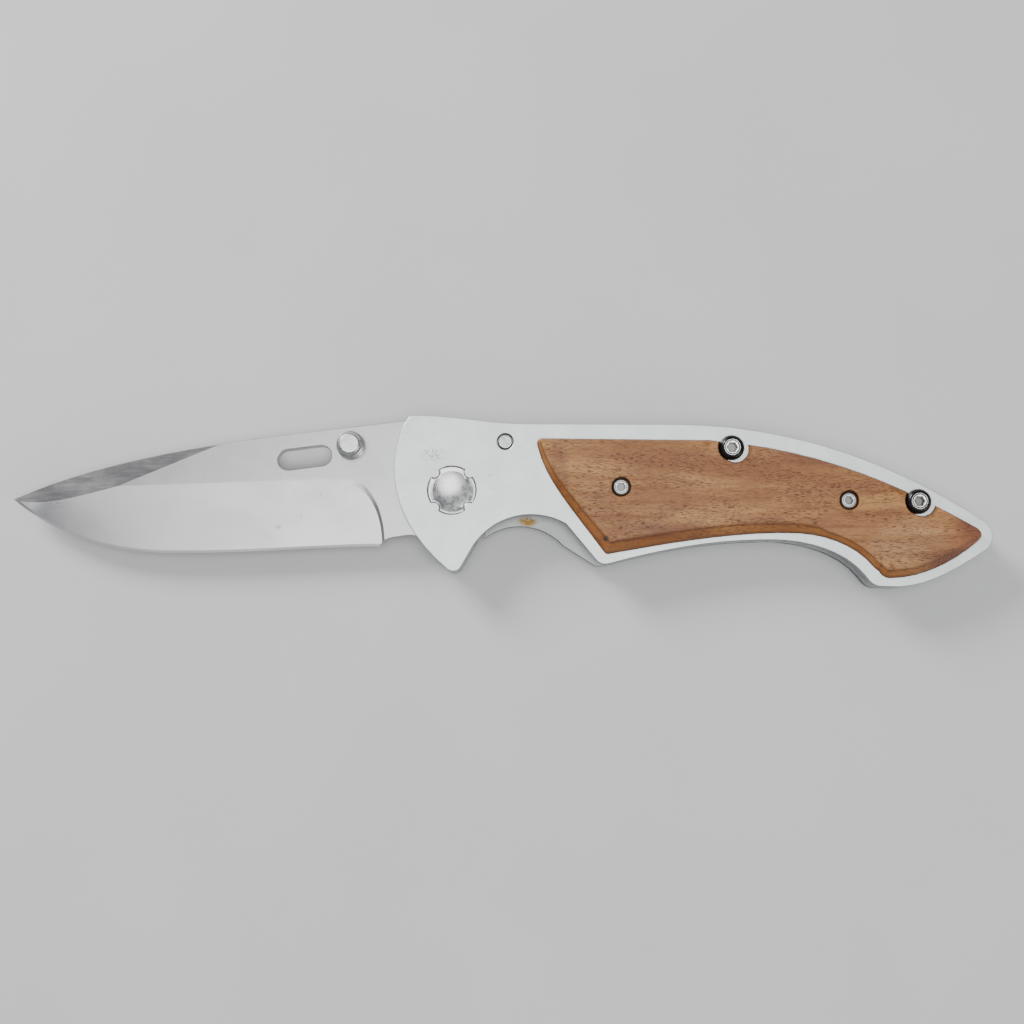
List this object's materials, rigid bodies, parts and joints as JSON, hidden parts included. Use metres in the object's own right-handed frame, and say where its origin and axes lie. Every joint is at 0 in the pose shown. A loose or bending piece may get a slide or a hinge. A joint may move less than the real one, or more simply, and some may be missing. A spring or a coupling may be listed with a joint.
{
  "type": "folding pocket knife",
  "caption": "Folding pocket knife with a flat-ground drop-point blade, steel handle slabs, a raised wood inlay, a thumb stud and a frame lock, shown open.",
  "frame": {"origin": "on the pivot axis, at the outer face of the back slab", "axes": "+X to the tail of the handle, +Y to the spine side, +Z out of the front slab"},
  "size_m": [0.1972, 0.0346, 0.0097],
  "materials": {
    "blasted_steel": "fine bead-blasted, matte, very light grey",
    "blade_steel": "satin, fine grain across the blade",
    "polished_steel": "polished",
    "stud_steel": "turned, lightly brushed",
    "dark_screw": "black oxide, glossy, bright where worn",
    "grey_screw": "turned steel, half gloss",
    "bronze": "smooth phosphor bronze",
    "wood": "oiled mid-brown hardwood with short dark pores"
  },
  "bodies": {
    "handle": {"front_slab": "blasted_steel", "back_slab": "blasted_steel", "pivot_barrel": "polished_steel", "pivot_screw": "dark_screw", "front_washer": "bronze", "back_washer": "bronze", "stop_pin": "polished_steel", "wood_inlay": "wood", "wood_screw_fore": "grey_screw", "wood_screw_aft": "grey_screw", "spacer_mid": "polished_steel", "spacer_tail": "polished_steel", "spacer_screw_mid_front": "dark_screw", "spacer_screw_tail_front": "dark_screw", "spacer_screw_mid_back": "dark_screw", "spacer_screw_tail_back": "dark_screw"},
    "blade_body": {"blade": "blade_steel", "thumb_stud": "stud_steel", "thumb_stud_screw": "dark_screw"},
    "lock": {"lock_bar": "blasted_steel", "detent_ball": "polished_steel"}
  },
  "joints": [
    {"name": "blade_pivot", "type": "hinge", "parent": "handle", "child": "blade_body", "pos_m": [0, 0, 0.00375], "axis": [0, 0, 1], "range_deg": [0, 173.5], "deforming": ["lock_bar", "detent_ball"]},
    {"name": "lock_flex", "type": "hinge", "parent": "handle", "child": "lock", "pos_m": [0.064, 0, 0.0016], "axis": [0, 1, 0], "range_deg": [-1.3, 0]}
  ],
  "couplings": [
    {"joint": "lock_flex", "follows": "blade_pivot", "ratio": -0.007297}
  ]
}
